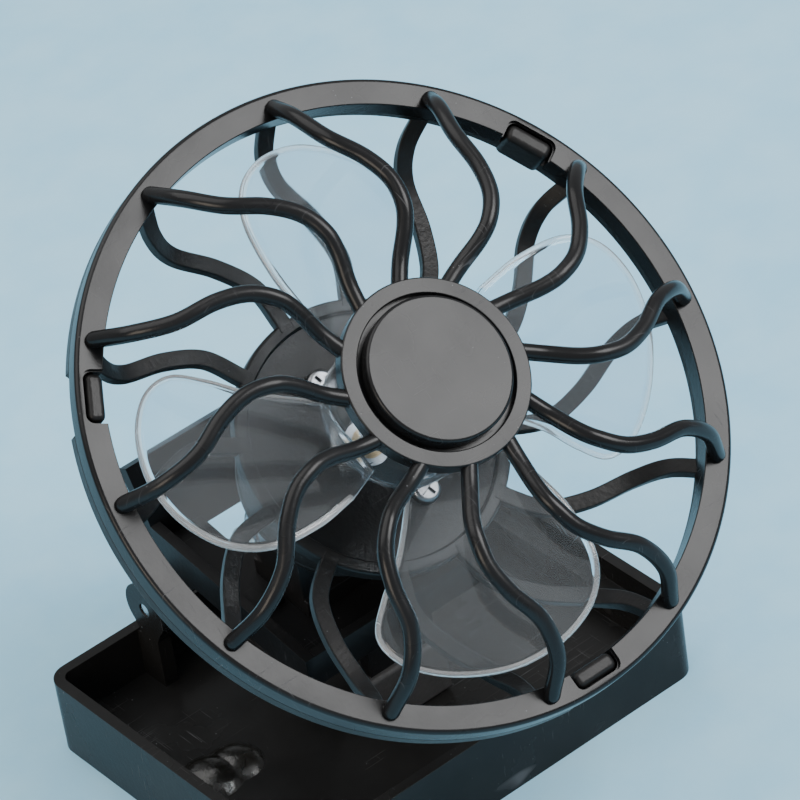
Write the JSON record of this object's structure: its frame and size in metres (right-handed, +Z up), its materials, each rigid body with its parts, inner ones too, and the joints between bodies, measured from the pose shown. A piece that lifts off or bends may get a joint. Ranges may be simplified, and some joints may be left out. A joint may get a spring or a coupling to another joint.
{
  "type": "clip-on solar fan",
  "caption": "Small clip-on solar fan: round wavy-spoked guard, clear bladed rotor and motor on a tilting neck, sprung clip jaw and tray-shaped solar panel housing.",
  "frame": {"origin": "centre of the panel housing's bottom face, on the table", "axes": "+X along the housing's long side and the clip pin, -Y the way the fan faces, +Z up"},
  "size_m": [0.0862, 0.0793, 0.0907],
  "materials": {
    "housing_plastic": "glossy black injection moulding",
    "clip_plastic": "semi-gloss black injection moulding",
    "guard_plastic": "glossy black injection moulding",
    "rear_plastic": "semi-gloss black injection moulding, faintly mottled",
    "clear_plastic": "clear glossy polystyrene",
    "clear_resin": "clear glossy resin",
    "solar_silicon": "dark blue cell, fine grid lines",
    "tinned_ribbon": "tinned, satin",
    "board": "matt",
    "hot_glue": "translucent, glossy",
    "steel": "nickel plated",
    "spring_steel": "plain spring wire",
    "soft_rubber": "matt dark grey",
    "motor_steel": "zinc plated",
    "bronze": "sintered bronze",
    "motor_nylon": "matt",
    "ferrite": "sintered, matt",
    "core_steel": "stamped laminations",
    "enamelled_copper": "enamelled winding wire"
  },
  "bodies": {
    "base": {"panel_housing": "housing_plastic", "solar_backing_board": "board", "solar_cells": "solar_silicon", "cell_ribbons": "tinned_ribbon", "resin_cover": "clear_resin", "panel_terminals": "tinned_ribbon", "glue_blob": "hot_glue", "clip_pin": "steel", "clip_spring_coil": "spring_steel"},
    "jaw": {"clip_jaw": "clip_plastic", "nose_pad": "soft_rubber", "clip_spring_arm": "spring_steel", "tilt_bracket": "clip_plastic", "bracket_screws": "steel", "tilt_screw": "steel", "tilt_washer": "steel", "tilt_nut": "steel"},
    "head": {"front_guard": "guard_plastic", "hub_disc": "guard_plastic", "rear_guard": "rear_plastic", "motor_can": "motor_steel", "front_bushing": "bronze", "rear_bushing": "bronze", "motor_end_cap": "motor_nylon", "motor_terminals": "tinned_ribbon", "motor_brushes": "bronze", "motor_magnets": "ferrite", "motor_screws": "steel", "motor_cover": "rear_plastic"},
    "rotor": {"fan_rotor": "clear_plastic", "motor_shaft": "steel", "commutator": "bronze", "armature_core": "core_steel", "armature_windings": "enamelled_copper"}
  },
  "joints": [
    {"name": "clip_open", "type": "hinge", "parent": "base", "child": "jaw", "pos_m": [0, 0.0224, 0.0162], "axis": [-1, 0, 0], "range_deg": [0, 28], "stiffness_Nm_per_rad": 0.06, "springref_deg": -57.3},
    {"name": "fan_tilt", "type": "hinge", "parent": "jaw", "child": "head", "pos_m": [0, 0.00525, 0.03375], "axis": [1, 0, 0], "range_deg": [-41, 30]},
    {"name": "rotor_spin", "type": "hinge", "parent": "head", "child": "rotor", "pos_m": [0, -0.0187, 0.0613], "axis": [0, -0.6561, 0.7547], "continuous": true}
  ]
}
